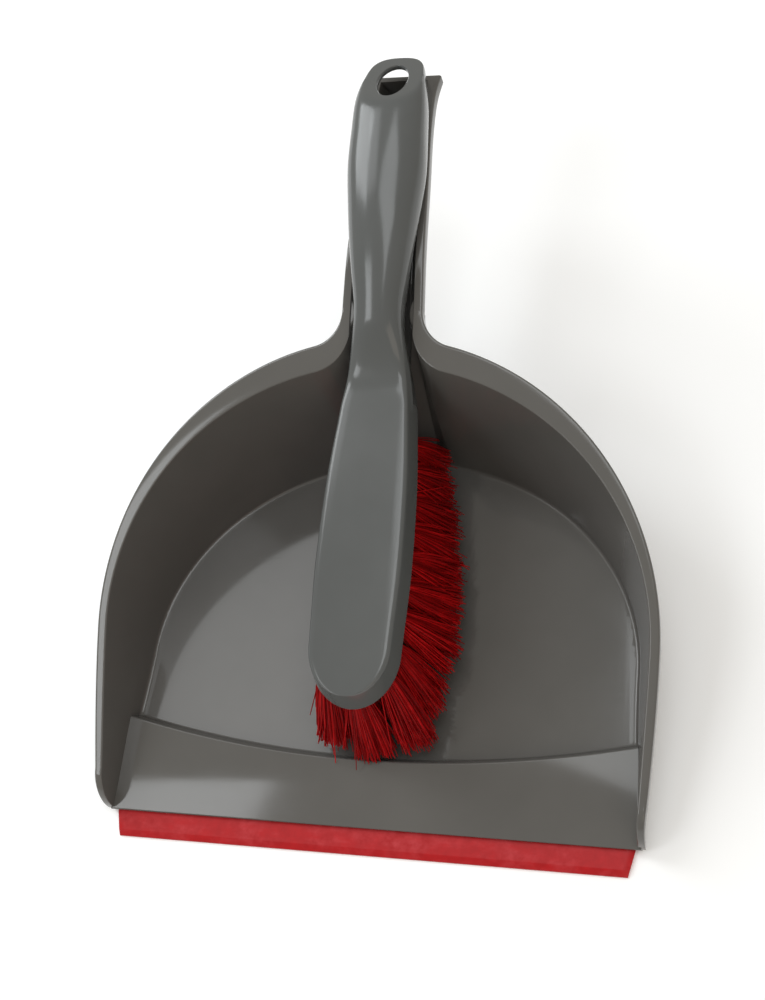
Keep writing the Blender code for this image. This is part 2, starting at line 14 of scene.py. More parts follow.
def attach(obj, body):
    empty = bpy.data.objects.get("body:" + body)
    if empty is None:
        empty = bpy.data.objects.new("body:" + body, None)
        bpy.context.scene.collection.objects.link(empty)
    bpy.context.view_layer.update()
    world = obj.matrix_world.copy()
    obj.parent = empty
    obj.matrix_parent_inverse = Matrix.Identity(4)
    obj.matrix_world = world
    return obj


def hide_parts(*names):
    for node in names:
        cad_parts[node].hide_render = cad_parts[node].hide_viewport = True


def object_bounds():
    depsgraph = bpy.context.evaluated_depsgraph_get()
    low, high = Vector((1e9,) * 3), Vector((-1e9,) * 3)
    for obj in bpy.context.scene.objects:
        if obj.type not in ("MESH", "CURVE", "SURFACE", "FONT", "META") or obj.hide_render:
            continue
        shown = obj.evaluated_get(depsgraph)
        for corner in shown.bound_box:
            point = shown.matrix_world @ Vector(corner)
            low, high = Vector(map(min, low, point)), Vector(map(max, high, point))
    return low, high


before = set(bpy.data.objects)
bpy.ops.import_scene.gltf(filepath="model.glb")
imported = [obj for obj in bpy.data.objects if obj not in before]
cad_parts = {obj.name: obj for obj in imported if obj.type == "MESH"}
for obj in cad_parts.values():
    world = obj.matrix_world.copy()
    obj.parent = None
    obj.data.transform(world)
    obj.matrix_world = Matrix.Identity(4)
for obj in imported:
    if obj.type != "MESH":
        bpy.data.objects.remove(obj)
cad_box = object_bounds()

MM = 0.001
SHARP_ANGLE = 32  # in degrees: a moulding's edge stays sharp above it
LIP_FRONT = cad_box[0].y / MM  # where y = 0 lies in the frame
SET_LENGTH = (cad_box[1].y - cad_box[0].y) / MM

# Pan: plan shape. Behind BOWL_CENTRE the rim, the flange's inner edge and the foot are half ellipses
BOWL_CENTRE = 77.0
FRONT_END = 10.4  # where the side walls stop
RIM_HALF_WIDTH = 111.3
RIM_DEPTH = 109.6  # from the bowl centre to the back of the rim
RIM_NARROWING = 4.0  # how much the rim draws in towards the front, each side
FLANGE_SIDE = 3.8  # width of the flange at the sides, the front and the back
FLANGE_FRONT = 2.6
FLANGE_BACK = 10.5
FOOT_HALF_WIDTH = 100.5
FOOT_DEPTH = 88.8  # from the bowl centre to the foot of the back wall
FOOT_FLARE = 4.3  # how much the foot spreads towards the front, each side
NECK_OUTER = 16.2  # half width over the channel handle's rim, at the neck
NECK_INNER = 12.5
NECK_MARGIN = 0.05  # both neck fillets stop this far outside the channel's sides
NECK_OUTER_FILLET = 14.0
NECK_INNER_FILLET = 17.0
ARC_STEPS = 80
ROUND_STEPS = 20
FRONT_STEPS = 14
SIDE_STEPS = 24

# Pan: heights. The rim lies in one sloping plane
RIM_AT_LIP = 13.8
RIM_SLOPE = 0.3208
RIM_CORNER = 11.5  # how far back the rounding of the rim's front corner starts
RIM_FRONT = 4.2  # rim height at its front end
WALL = 1.9
SKIRT = 1.2
SKIRT_DEPTH = 6.0
FLOOR = 2.4
FOOT_FILLET = 3.0
FOOT_FILLET_THIN = 0.2  # width of the wall's inner foot in front of FOOT_FADE, beside the ramp
FOOT_FADE = (22.0, 34.0)
FLANGE_ROUND = 1.0

# Pan: ramp between the lip and the floor
RAMP_FRONT = 9.8
RAMP_FRONT_TOP = 4.2
RAMP_THICK = 1.5
CREST_END = 47.3  # where the crest meets the side walls
CREST_SAG = 12.1  # how far the middle of the crest bows to the front
CREST_HEIGHT = 8.8
CREST_STEP = 2.6  # length of the step down behind the crest

# Pan: channel handle
CHANNEL_DEPTH = 18.0
CHANNEL_END = 296.5
CHANNEL_LEVEL_START = 208.0  # where the channel's rim starts to level out
CHANNEL_LEVEL_END = 232.0
CHANNEL_SLOPE = 0.1  # slope of the rim from there on
CHANNEL_STEP = 0.03  # the channel's rim lies this much lower than the bowl's
CHANNEL_BEAD = 5.0
CHANNEL_LEAN = 3.8  # how far each side draws in on its way down
CHANNEL_HALF_WIDTH = [(200, NECK_OUTER), (224, 15.6), (250, 14.6), (270, 13.6), (283, 13.5), (290, 14.0),
                      (CHANNEL_END, 15.2)]
CHANNEL_RIM_WIDTH = [(215, NECK_OUTER - NECK_INNER), (250, 3.2), (278, 3.2), (290, 4.3), (CHANNEL_END, 6.0)]
SNAP_NUB = 1.4  # how far a snap nub stands proud
SNAP_SUNK = -0.3  # its ends, inside the channel's side
SNAP_FRONT = 190.5
SNAP_BACK = 201.0

# Lip
LIP_HALF_FRONT = 101.2
LIP_HALF_BACK = 103.5
LIP_DEPTH = 16.5
LIP_THICK = 2.3
LIP_EDGE = 0.9
LIP_BEVEL = 2.4
LIP_END_PINCH = 0.35  # how much lower the lip is at its very ends
LIP_END_SHARE = 0.006

# Brush: the block's flat top climbs towards the handle
PLATE_AT_LIP = 48.9
PLATE_SLOPE = 0.13
BLOCK_THICK = 11.5
BLOCK_FLARE = 2.2  # how much wider the block is at the bottom, each side
NOSE_CENTRE = 66.0
NOSE_TOP = 19.3
NOSE_BOTTOM = 20.8
EDGE_ROUND = 2.8  # of the block's top edge
HANDLE_END_CENTRE = 291.0  # where the handle's round end starts
HANDLE_END_POWER = 2.8
UPPER_POWER = 2.2  # roundness of the handle's section above and below its widest level
LOWER_POWER = 4.0
HANDLE_WALL = 2.4  # the handle is a shell, open underneath
POCKET_START = 215.0
MORPH_START = 158.0  # where the block starts to turn into the neck
MORPH_END = 188.0
FACET_START = (271.0, 111.0)  # y and height where the sloping flat round the hole starts
FACET_SLOPE = -0.37
FACET_ROUND = 0.3
FACET_LEAD = 20.0  # the flat is first felt this far in front of its start
CAP_FULLNESS = 0.4  # below 1, the handle's height shrinks later than its width towards the end
HOLE_CENTRE = 283.6
HOLE_HALF_LENGTH = 10.0
HOLE_HALF_WIDTH = 6.0
HOLE_DEPTH = 40.0  # of the cutter, well through the handle
# The hole's rounded edge, as (growth of the hole, height above the flat)
HOLE_EDGE = [(0.9, 1.5), (0.75, 0.3), (0.45, -0.05), (0.2, -0.3), (0.05, -0.65), (0.0, -1.1)]
# Outline of the brush from above, then the height of its handle's top, widest level and bottom, as (y, value)
BRUSH_HALF_WIDTH = [(66, 15.7), (98, 16.6), (130, 15.7), (154, 13.7), (174, 11.8), (188, 9.9), (196, 9.8),
                    (206, 11.1), (224, 13.4), (242, 15.1), (250, 15.4), (262, 14.9), (278, 13.8), (299, 9.6)]
HANDLE_TOP = [(158, 69.4), (168, 72.6), (186, 84.5), (206, 94.0), (224, 101.0), (245, 106.8), (262, 110.4),
              (274, 111.6), (299, 108.5)]
HANDLE_MID = [(158, 62.0), (176, 72.0), (188, 77.8), (200, 83.2), (212, 87.4), (236, 93.8), (260, 100.8),
              (274, 104.4), (284, 103.6), (299, 99.6)]
HANDLE_BOTTOM = [(158, 57.9), (176, 63.0), (193, 71.0), (206, 77.6), (218, 83.8), (232, 86.0), (262, 88.9),
                 (276, 91.0), (290, 96.0), (299, 98.2)]

# Bristles
TUFT_HOLE = 5.2
TUFT_HOLE_SPARE = 6.0  # how far its cutter stands out of the block
TUFT_ROOT = 4.6
TUFT_DEPTH = 8.5
TUFT_FREE = 40.0  # length outside the block
TUFT_END = 3.0  # length of the end part that tells where a tuft points
TUFT_TIP = (13.0, 24.0)  # spread of the tips across and along the row
FIRST_TIP = (19.0, 15.0)
LAST_TIP = (13.0, 14.0)
REAR_TAPER = 0.4  # how much narrower the spread across is at the back of a row
FIRST_REACH = (11.0, 11.0)  # how far to its right and left a tuft may spread
SIDE_REACH = (6.8, 4.6)
BRISTLES_PER_TUFT = 400
BRISTLE_RADIUS = 0.25
BRISTLE_TIP_RADIUS = 0.18
BRISTLE_SIDES = 5
BRISTLE_RINGS = 9
CLUMPS = 9  # in each tuft
CLUMP_PULL = (0.1, 0.4)  # share of the way to the middle of its clump
TIP_JITTER = 0.7
BOW = 0.7
LONGEST = 1.02  # share of TUFT_FREE
SHORTENING = 0.17  # of the shortest bristle
STRAY_SHARE = 0.09
STRAY_JITTER = 2.6
STRAY_LENGTH = (0.8, 1.08)
SPREAD_POWER = 0.75  # below 1, a tuft opens out soon after the block
SWEEP = 2.0  # how far the tips lie over to the right

# Camera: the point it looks at, how far off it stands and its angles in degrees
CAMERA_TARGET = (-12.1, 149.5, 0.0)
CAMERA_DISTANCE = 675.6
CAMERA_AZIMUTH = 15.42
CAMERA_TILT = 23.81
CAMERA_ROLL = 7.974
CAMERA_LENS = 57.6

# Light: soft boxes far off, as (name, direction, size as two angles, radiance, spin, colour)
LIGHT_AIM = (0.0, 150.0, 60.0)
LIGHT_DISTANCE = 1400.0
COOL_LIGHT = (0.94, 0.975, 1.0)
WARM_LIGHT = (1.0, 0.84, 0.70)
SOFT_BOXES = [
    ("top_box", (0.11, 0.07, 1.0), (23, 34), 2.9, 103, COOL_LIGHT),
    ("left_box", (-0.70, 0.36, 0.62), (20, 34), 5.4, 0, COOL_LIGHT),
    ("high_left_box", (-0.42, 0.29, 0.86), (14, 17), 2.3, -52, COOL_LIGHT),
    ("front_left_box", (-0.50, -0.30, 0.81), (17, 18), 4.6, 53, COOL_LIGHT),
    ("front_fill_box", (0.50, -0.66, 0.56), (30, 30), 0.9, 0, WARM_LIGHT),
]
ROOM_LIGHT = (1.0, 0.93, 0.83, 1.0)
ROOM_STRENGTH = 0.50
STUDIO_FLOOR_RADIUS = 6.0  # in metres
STUDIO_FLOOR_GLOW = 0.13

# Colours and finish
PAN_GREY = (0.109, 0.107, 0.102, 1.0)
PAN_ROUGHNESS = 0.09
PAN_PEEL = 0.05  # strength of the orange peel
BRUSH_GREY = (0.096, 0.103, 0.104, 1.0)
BRUSH_ROUGHNESS = 0.15
BRUSH_PEEL = 0.04
LIP_RED = (0.46, 0.010, 0.014, 1.0)
LIP_BLOOM = (0.52, 0.055, 0.065, 1.0)
BRISTLE_DARK = (0.20, 0.001, 0.002, 1.0)
BRISTLE_LIGHT = (0.60, 0.006, 0.008, 1.0)
STEEL_DARK = (0.45, 0.45, 0.44, 1.0)
STEEL_LIGHT = (0.7, 0.7, 0.68, 1.0)
FLOOR_SHADE = (0.91, 0.93, 0.95, 1.0)
FLOOR_WHITE = (0.93, 0.95, 0.97, 1.0)
WHITE = (1.0, 1.0, 1.0, 1.0)


# Small tools

def place(x, y, z):
    """A point in millimetres, y from the lip, as a point of the frame."""
    return Vector((x * MM, (LIP_FRONT + y) * MM, z * MM))


def smoothstep(value, start, end):
    t = min(max((value - start) / (end - start), 0.0), 1.0)
    return t * t * (3 - 2 * t)


def smooth_through(points, y):
    """The value at y of a smooth curve through the points."""
    if y <= points[0][0]:
        return points[0][1]
    if y >= points[-1][0]:
        return points[-1][1]
    i = max(k for k in range(len(points) - 1) if points[k][0] <= y)

    def slope(k):
        low, high = max(k - 1, 0), min(k + 1, len(points) - 1)
        return (points[high][1] - points[low][1]) / (points[high][0] - points[low][0])

    (y0, v0), (y1, v1) = points[i], points[i + 1]
    span = y1 - y0
    t = (y - y0) / span
    ease = t * t * (3 - 2 * t)
    return (v0 + (v1 - v0) * ease + span * slope(i) * t * (1 - t) ** 2
            - span * slope(i + 1) * t * t * (1 - t))


def steps_between(start, end, count):
    return [start + (end - start) * k / count for k in range(count)]


def rounded(outline, steps=5):
    """A closed outline of (point, radius) with every corner of some radius turned into a round."""
    points = []
    for k, (corner, radius) in enumerate(outline):
        if radius == 0:
            points.append(corner)
            continue
        to_last = outline[k - 1][0] - corner
        to_next = outline[(k + 1) % len(outline)][0] - corner
        half_angle = to_last.angle(to_next, math.pi) / 2
        reach = min(radius * MM / math.tan(half_angle), 0.45 * to_last.length, 0.45 * to_next.length)
        start = corner + to_last.normalized() * reach
        end = corner + to_next.normalized() * reach
        for j in range(steps + 1):
            t = j / steps
            points.append(start * (1 - t) ** 2 + corner * 2 * t * (1 - t) + end * t ** 2)
    return points


def mirrored(section):
    return [Vector((-p.x, p.y, p.z)) for p in section]


def loft(sections):
    """A closed solid through cross-sections, each a closed polygon of the same number of points."""
    bm = bmesh.new()
    rings = [[bm.verts.new(point) for point in section] for section in sections]
    count = len(rings[0])
    for near, far in zip(rings, rings[1:]):
        for k in range(count):
            m = (k + 1) % count
            bm.faces.new((near[k], near[m], far[m], far[k]))
    bm.faces.new(rings[0])
    bm.faces.new(rings[-1])
    bmesh.ops.recalc_face_normals(bm, faces=bm.faces)
    return bm


def add_object(name, bm):
    mesh = bpy.data.meshes.new(name)
    bm.to_mesh(mesh)
    bm.free()
    made = bpy.data.objects.new(name, mesh)
    bpy.context.collection.objects.link(made)
    return made


def combine(target, tool, operation):
    """Target with the tool added, cut out or kept in common. The tool is used up."""
    step = target.modifiers.new(operation, "BOOLEAN")
    step.operation = operation
    step.object = tool
    step.solver = "EXACT"
    depsgraph = bpy.context.evaluated_depsgraph_get()
    result = bpy.data.meshes.new_from_object(target.evaluated_get(depsgraph))
    target.modifiers.clear()
    target.data = result
    bpy.data.objects.remove(tool, do_unlink=True)


def finish_shape(piece, body, material, nodes):
    """Smooth shading between real edges, the material, and the piece's place in the frame."""
    piece.data.shade_smooth()
    piece.data.set_sharp_from_angle(angle=math.radians(SHARP_ANGLE))
    piece.data.materials.clear()
    piece.data.materials.append(material)
    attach(piece, body)
    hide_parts(*nodes)


# The pan

def rim_height(y):
    plane = RIM_AT_LIP + RIM_SLOPE * max(y, FRONT_END + RIM_CORNER)
    drop = min(max((FRONT_END + RIM_CORNER - y) / RIM_CORNER, 0.0), 1.0)
    return RIM_FRONT + (plane - RIM_FRONT) * math.sqrt(1 - drop * drop) if drop else plane


def neck_fillet(side, depth, half_width, radius):
    """The round from an elliptical back edge into the channel's side at half_width."""
    end_x = half_width + NECK_MARGIN
    low, high = 0.0, math.pi / 2
    while high - low > 1e-6:
        t = (low + high) / 2
        normal = Vector((depth * math.cos(t), side * math.sin(t))).normalized()
        centre = Vector((side * math.cos(t), BOWL_CENTRE + depth * math.sin(t))) + normal * radius
        if centre.x > end_x + radius:
            low = t
        else:
            high = t
    start = math.atan2(normal.y, normal.x) - math.pi
    return [(centre.x + radius * math.cos(a), centre.y + radius * math.sin(a))
            for a in (start + (-math.pi - start) * k / ROUND_STEPS for k in range(ROUND_STEPS + 1))]


def inner_neck():
    return neck_fillet(RIM_HALF_WIDTH - FLANGE_SIDE, RIM_DEPTH - FLANGE_BACK, NECK_INNER, NECK_INNER_FILLET)


def ellipse_to(x_end, half_width, depth):
    """The back edge from the side of the bowl round to x_end."""
    end = math.acos(x_end / half_width)
    return [(half_width * math.cos(end * k / ARC_STEPS), BOWL_CENTRE + depth * math.sin(end * k / ARC_STEPS))
            for k in range(ARC_STEPS + 1)]


def straight_to_front(side_width, y, change, power):
    t = (BOWL_CENTRE - y) / (BOWL_CENTRE - FRONT_END)
    return side_width + change * t ** power


def wall_stations():
    """Right half of the bowl: (rim, flange edge, foot) in plan, from the front corner to the neck."""
    corner_end = FRONT_END + RIM_CORNER
    ys = [corner_end - RIM_CORNER * math.cos(a) for a in steps_between(0, math.pi / 2, FRONT_STEPS)]
    ys += steps_between(corner_end, BOWL_CENTRE, SIDE_STEPS)
    stations = []
    for y in ys:
        rim = straight_to_front(RIM_HALF_WIDTH, y, -RIM_NARROWING, 1.6)
        flange = straight_to_front(FLANGE_SIDE, y, FLANGE_FRONT - FLANGE_SIDE, 3.0)
        foot = straight_to_front(FOOT_HALF_WIDTH, y, FOOT_FLARE, 1.5)
        stations.append(((rim, y), (rim - flange, y), (foot, y)))

    outer_round = neck_fillet(RIM_HALF_WIDTH, RIM_DEPTH, NECK_OUTER, NECK_OUTER_FILLET)
    inner_round = inner_neck()
    round_x = inner_round[0][0]
    outer_arc = ellipse_to(outer_round[0][0], RIM_HALF_WIDTH, RIM_DEPTH)
    inner_arc = ellipse_to(round_x, RIM_HALF_WIDTH - FLANGE_SIDE, RIM_DEPTH - FLANGE_BACK)
    foot_arc = ellipse_to(round_x, FOOT_HALF_WIDTH, FOOT_DEPTH)
    stations += list(zip(outer_arc, inner_arc, foot_arc))
    for k in range(1, ROUND_STEPS + 1):
        x = round_x + (inner_round[-1][0] - round_x) * k / ROUND_STEPS
        foot_y = BOWL_CENTRE + FOOT_DEPTH * math.sqrt(1 - (x / FOOT_HALF_WIDTH) ** 2)
        stations.append((outer_round[k], inner_round[k], (x, foot_y)))
    return stations


def wall_section(rim, flange, foot):
    """One cross-section of the wall with its flange and turned-down skirt."""
    rim, flange, foot = Vector(rim), Vector(flange), Vector(foot)
    out = (rim - flange).normalized()
    wall = min(WALL, (rim - flange).length - SKIRT - 0.3)
    top = rim_height(rim.y)
    skirt_bottom = top - min(SKIRT_DEPTH, 0.55 * (top - 1.0))
    ledge = top - min(WALL, 0.3 * top)
    strip = FOOT_FILLET_THIN + (FOOT_FILLET - FOOT_FILLET_THIN) * smoothstep(foot.y, *FOOT_FADE)
    rise = RIM_SLOPE * (flange.y - rim.y) if rim.y > FRONT_END + RIM_CORNER else 0.0
    round_over = min(FLANGE_ROUND, 0.2 * top)
    outline = [
        (foot - out * strip, 0.0, 0),
        (foot + out * wall, 0.0, 0.4),
        (flange + out * wall, ledge + rise, 1.0),
        (rim - out * SKIRT, ledge, 0.5),
        (rim - out * SKIRT, skirt_bottom, 0.3),
        (rim, skirt_bottom, 0.4),
        (rim, top, round_over),
        (flange, top + rise, 0.8 * round_over),
        (foot, FLOOR, FOOT_FILLET),
        (foot - out * strip, FLOOR, 0),
    ]
    return rounded([(place(plan.x, plan.y, z), radius) for plan, z, radius in outline])


def bowl_wall():
    right = [wall_section(*station) for station in wall_stations()]
    return loft(right + [mirrored(section) for section in reversed(right)])


def crest_line(x):
    return CREST_END - CREST_SAG * (1 - (x / LIP_HALF_BACK) ** 2)


def floor_plate():
    """The ramp, its step down and the flat floor, wider than the bowl. floor_trim cuts it to shape."""
    half, back, steps = RIM_HALF_WIDTH + 5, BOWL_CENTRE + RIM_DEPTH, 80
    sections = []
    for k in range(steps + 1):
        x = -half + 2 * half * k / steps
        crest = crest_line(x)
        outline = [
            (RAMP_FRONT, RAMP_FRONT_TOP - RAMP_THICK, 0.3),
            (RAMP_FRONT, RAMP_FRONT_TOP, 0.5),
            (crest, CREST_HEIGHT, 0.9),
            (crest + CREST_STEP, FLOOR, 1.2),
            (back, FLOOR, 0),
            (back, 0.0, 0),
            (crest + 0.6, 0.0, 0.5),
            (crest - 1.2, CREST_HEIGHT - RAMP_THICK - 0.4, 0.8),
        ]
        sections.append(rounded([(place(x, y, z), radius) for y, z, radius in outline]))
    return loft(sections)


def floor_trim():
    """The outline of the floor, reaching half way into the wall, as a tall prism."""
    half = [Vector(foot) for _, _, foot in wall_stations()]
    half = [p + Vector((p.x, max(p.y - BOWL_CENTRE, 0.0))).normalized() * WALL / 2 for p in half]
    half.insert(0, Vector((half[0].x, RAMP_FRONT - 5)))
    outline = half + [Vector((-p.x, p.y)) for p in reversed(half)]
    return loft([[place(p.x, p.y, z) for p in outline] for z in (-10.0, 30.0)])


def channel_outer(y):
    return smooth_through(CHANNEL_HALF_WIDTH, y)


def channel_inner(y):
    return channel_outer(y) - smooth_through(CHANNEL_RIM_WIDTH, y)


def channel_rim(y):
    """Height of the channel's rim. It follows the rim plane at the neck, then levels out evenly."""
    bend = CHANNEL_LEVEL_END - CHANNEL_LEVEL_START
    bent = min(max(y - CHANNEL_LEVEL_START, 0.0), bend)
    beyond = max(y - CHANNEL_LEVEL_END, 0.0)
    return (RIM_AT_LIP - CHANNEL_STEP + RIM_SLOPE * (y - beyond) + CHANNEL_SLOPE * beyond
            - (RIM_SLOPE - CHANNEL_SLOPE) * bent ** 2 / (2 * bend))


def channel_point(x, y, below, slant=0.0):
    """A point this far below the rim, on a section whose plane slants in y."""
    y_here = y + slant * below
    return place(x, y_here, channel_rim(y_here) - below)


def channel_section(y, half, slant=0.0):
    """A closed section from the right half of its outline, given as (x, depth, radius)."""
    chain = half + [(-x, below, radius) for x, below, radius in reversed(half)]
    return rounded([(channel_point(x, y, below, slant), radius) for x, below, radius in chain])


def channel_block():
    """The outside of the channel handle, solid up to its rim."""
    start = inner_neck()[-1][1] + 1.0
    wall_lean = -(start - BOWL_CENTRE - FOOT_DEPTH) / (channel_rim(start) - FLOOR)
    sections = []
    for y in steps_between(start, CHANNEL_END, 60) + [CHANNEL_END]:
        inner, outer = channel_inner(y), channel_outer(y)
        edge = min(FLANGE_ROUND, 0.4 * (outer - inner))
        half = [
            (outer, 0.0, edge),
            (outer, CHANNEL_BEAD, 0.4),
            (inner + 0.6 * WALL, CHANNEL_BEAD + 0.6, 0.6),
            (inner - CHANNEL_LEAN - 1.0 + 0.9 * WALL, CHANNEL_DEPTH, 2.5),
            (inner - CHANNEL_LEAN - 3.2, CHANNEL_DEPTH + WALL, 2.0),
        ]
        sections.append(channel_section(y, half, wall_lean * (1 - (y - start) / (CHANNEL_END - start)) ** 3))
    return loft(sections)


def channel_hollow():
    """The inside of the channel, from within the bowl, through the back wall, to the wall at its end."""
    sections = []
    for y in steps_between(150.0, CHANNEL_END - WALL, 60) + [CHANNEL_END - WALL]:
        inner = channel_inner(y)
        half = [
            (inner - CHANNEL_LEAN - 0.4, CHANNEL_DEPTH, 2.6),
            (inner, 0.7, 0.5),
            (inner + 0.8, -0.7, 0.4),
            (inner + 0.8, -12.0, 0),
        ]
        sections.append(channel_section(y, half))
    return loft(sections)


def snap_nub(side):
    """A soft pad on the channel's side that the brush's neck squeezes past. Its ends sink into the side."""
    sections = []
    for y in steps_between(SNAP_FRONT, SNAP_BACK, 24) + [SNAP_BACK]:
        swell = math.sin(math.pi * (y - SNAP_FRONT) / (SNAP_BACK - SNAP_FRONT)) ** 0.7
        proud = SNAP_SUNK + (SNAP_NUB - SNAP_SUNK) * swell
        outline = [
            (0.8, 0.45, 0.3),
            (-proud, 0.9, 0.9),
            (-proud, 5.2, 1.2),
            (0.5, 7.4, 0),
            (1.2, 5.0, 0),
            (1.2, 1.7, 0),
        ]
        section = []
        for out, below, radius in outline:
            wall = NECK_INNER - CHANNEL_LEAN * (below - 0.7) / (CHANNEL_DEPTH - 3.5)
            section.append((channel_point(side * (wall + out), y, below), radius))
        sections.append(rounded(section))
    return loft(sections)


def make_pan(material):
    pan = add_object("pan_moulding", bowl_wall())
    plate = add_object("floor_plate", floor_plate())
    combine(plate, add_object("floor_trim", floor_trim()), "INTERSECT")
    combine(pan, plate, "UNION")
    combine(pan, add_object("channel_block", channel_block()), "UNION")
    combine(pan, add_object("channel_hollow", channel_hollow()), "DIFFERENCE")
    for side in (-1, 1):
        combine(pan, add_object("snap_nub", snap_nub(side)), "UNION")
    finish_shape(pan, "pan", material, ["dustpan_body"])


def make_lip(material):
    """A soft strip with a bevelled front edge. Its back part lies under the ramp."""
    outline = [(0.0, 0.0, 0.2), (0.0, LIP_EDGE, 0.35), (LIP_BEVEL, LIP_THICK - 0.3, 0.6),
               (RAMP_FRONT, LIP_THICK, 0), (LIP_DEPTH, LIP_THICK, 0.2), (LIP_DEPTH, 0.0, 0.2)]
    steps = 120
    sections = []
    for k in range(steps + 1):
        share = 2 * k / steps - 1
        near_end = 1 - abs(share)
        pinch = 1 - LIP_END_PINCH * (1 - smoothstep(near_end, 0.0, LIP_END_SHARE))
        section = []
        for y, z, radius in outline:
            half = LIP_HALF_FRONT + (LIP_HALF_BACK - LIP_HALF_FRONT) * min(y / RAMP_FRONT, 1.0)
            section.append((place(share * half, y, z * pinch), radius))
        sections.append(rounded(section))
    lip = add_object("lip_strip", loft(sections))
    finish_shape(lip, "pan", material, ["rubber_lip"])


# The brush

def plate_height(y):
    return PLATE_AT_LIP + PLATE_SLOPE * y


def block_half_outline(y, cap):
    """Right half of the block's cross-section from the top down, as (point, radius)."""
    width = smooth_through(BRUSH_HALF_WIDTH, y)
    # As (share of the width, inset, depth below the top, radius)
    corners = [
        (0.0, 0.0, 0.0, 0),
        (0.7, 0.0, 0.0, 0),
        (1.0, 0.0, 0.0, EDGE_ROUND),
        (1.0, -BLOCK_FLARE * 0.5, BLOCK_THICK * 0.5, 4.0),
        (1.0, -BLOCK_FLARE, BLOCK_THICK, 1.2),
        (0.9, 0.0, BLOCK_THICK, 0),
        (0.0, 0.0, BLOCK_THICK, 0),
    ]
    points = []
    for across, inset, down, radius in corners:
        depth = NOSE_TOP + (NOSE_BOTTOM - NOSE_TOP) * down / BLOCK_THICK
        y_here = y if y > NOSE_CENTRE else NOSE_CENTRE - (NOSE_CENTRE - y) * depth / NOSE_BOTTOM
        points.append((place(cap * across * (width - inset), y_here, plate_height(y_here) - down), radius))
    return points


def facet_height(y):
    return FACET_START[1] + FACET_SLOPE * (y - FACET_START[0])


def under_facet(y, z):
    """z, brought softly under the flat round the hanging hole."""
    over = z - facet_height(y)
    return z - 0.5 * (over + math.sqrt(over * over + FACET_ROUND ** 2))


def handle_half_section(y, cap, count, wall=0.0):
    """Right half of the handle's rounded cross-section from the top down, this far inside it."""
    width = smooth_through(BRUSH_HALF_WIDTH, y) * cap - wall
    mid = smooth_through(HANDLE_MID, y)
    top = mid + (smooth_through(HANDLE_TOP, y) - mid) * cap ** CAP_FULLNESS
    bottom = mid + (smooth_through(HANDLE_BOTTOM, y) - mid) * cap ** CAP_FULLNESS
    points = []
    for k in range(count):
        angle = math.pi / 2 - math.pi * k / (count - 1)
        power = UPPER_POWER if angle > 0 else LOWER_POWER
        across = abs(math.cos(angle)) ** (2 / power) if 0 < k < count - 1 else 0.0
        rise = abs(math.sin(angle)) ** (2 / power)
        z = mid + rise * ((top if angle > 0 else bottom) - mid)
        z = under_facet(y, z) if y > FACET_START[0] - FACET_LEAD else z
        points.append(place(width * across, y, z - wall * rise))
    return points


def handle_cap(y):
    """How much the handle's section has shrunk towards its round end."""
    t = max(y - HANDLE_END_CENTRE, 0.0) / (SET_LENGTH - HANDLE_END_CENTRE)
    return (1 - t ** HANDLE_END_POWER) ** (1 / HANDLE_END_POWER)


def handle_pocket():
    """The hollow of the handle's shell, open at the bottom."""
    end = SET_LENGTH - HANDLE_WALL
    sections = []
    ys = steps_between(POCKET_START, HANDLE_END_CENTRE, 50) + steps_between(HANDLE_END_CENTRE, end, 8)
    for y in ys + [end]:
        upper = handle_half_section(y, handle_cap(y), 41, HANDLE_WALL)[:21]
        low = place(0.0, y, smooth_through(HANDLE_BOTTOM, y) - 10)
        right = upper + [Vector((upper[-1].x, low.y, low.z)), low]
        sections.append(right + mirrored(right[-2:0:-1]))
    return loft(sections)


def brush_section(y):
    """The whole cross-section at y, with the nose and the handle's end closed by a round cap."""
    cap = handle_cap(y)
    if y < NOSE_CENTRE:
        cap = math.sqrt(1 - ((NOSE_CENTRE - y) / NOSE_BOTTOM) ** 2)
    outline = block_half_outline(y, cap)
    left = [(Vector((-p.x, p.y, p.z)), radius) for p, radius in outline[-2:0:-1]]
    block = rounded(outline + left)
    half_count = len(block) // 2 + 1
    handle = handle_half_section(y, cap, half_count)
    handle += mirrored(handle[-2:0:-1])
    morph = smoothstep(y, MORPH_START, MORPH_END)
    return [a.lerp(b, morph) for a, b in zip(block, handle)]


def brush_solid():
    nose_ys = [NOSE_CENTRE - NOSE_BOTTOM * math.cos(a)
               for a in steps_between(math.radians(1), math.pi / 2, 36)]
    block_ys = steps_between(NOSE_CENTRE, MORPH_START, 30)
    handle_ys = steps_between(MORPH_START, HANDLE_END_CENTRE, 80)
    end_length = SET_LENGTH - HANDLE_END_CENTRE - 1e-3
    end_ys = [HANDLE_END_CENTRE + end_length * math.sin(a) for a in steps_between(0, math.pi / 2, 24)]
    return loft([brush_section(y) for y in nose_ys + block_ys + handle_ys + end_ys + [SET_LENGTH - 1e-3]])


def hanging_hole():
    """The hole through the handle's end, with its edge at the flat rounded over."""
    sides = 64
    rings = []
    for grow, above in HOLE_EDGE + [(0.0, -HOLE_DEPTH)]:
        ring = []
        for k in range(sides):
            angle = 2 * math.pi * k / sides
            y = HOLE_CENTRE + (HOLE_HALF_LENGTH + grow) * math.sin(angle)
            ring.append(place((HOLE_HALF_WIDTH + grow) * math.cos(angle), y, facet_height(y) + above))
        rings.append(ring)
    return loft(rings)


# Bristles. Each tuft's place comes from its node and its staple's node in the frame

def node_points(name):
    return np.array([v.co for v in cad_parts[name].data.vertices]) / MM


